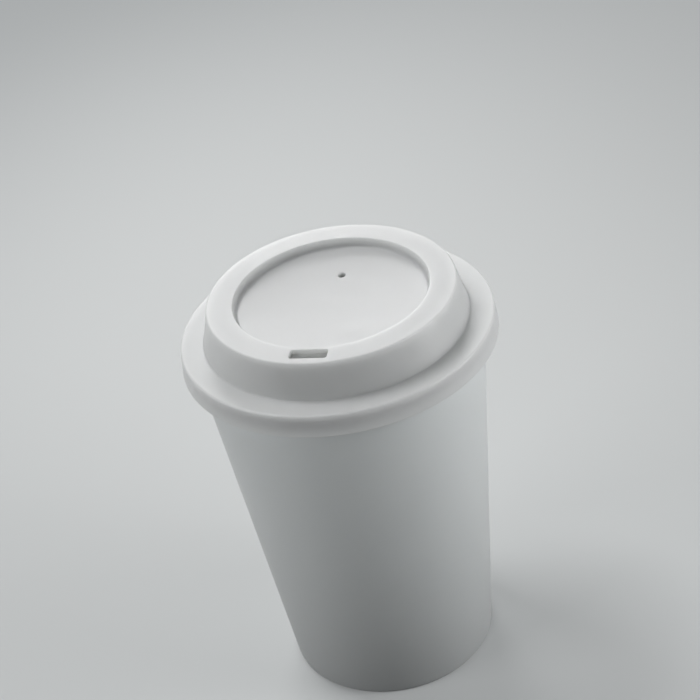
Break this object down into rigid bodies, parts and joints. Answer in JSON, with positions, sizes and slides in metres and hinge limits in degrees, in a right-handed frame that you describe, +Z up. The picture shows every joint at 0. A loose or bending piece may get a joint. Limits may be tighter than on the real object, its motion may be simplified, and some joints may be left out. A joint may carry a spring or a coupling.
{
  "type": "double-walled plastic cup with push-on lid",
  "caption": "Reusable double-walled tapered drinking cup with a push-on lid that has a raised ledge, a sip slot and a small vent.",
  "frame": {"origin": "on the axis of the cup, at the height of the surface that its foot ring stands on", "axes": "+Z up along the axis from the foot to the lid, -Y towards the sip slot, +Y towards the vent, +X to the right of someone who faces the sip slot"},
  "size_m": [0.094, 0.094, 0.1308],
  "materials": {
    "shell_plastic": "fine satin moulded polypropylene, white",
    "liner_plastic": "smooth satin moulded polypropylene, white",
    "lid_plastic": "fine satin moulded polypropylene, white"
  },
  "bodies": {
    "cup": {"outer_shell": "shell_plastic", "inner_liner": "liner_plastic"},
    "lid": {"lid": "lid_plastic"}
  },
  "joints": [
    {"name": "lid_lift", "type": "slide", "parent": "cup", "child": "lid", "axis": [0, 0, 1], "range_m": [0, 0.08]}
  ]
}
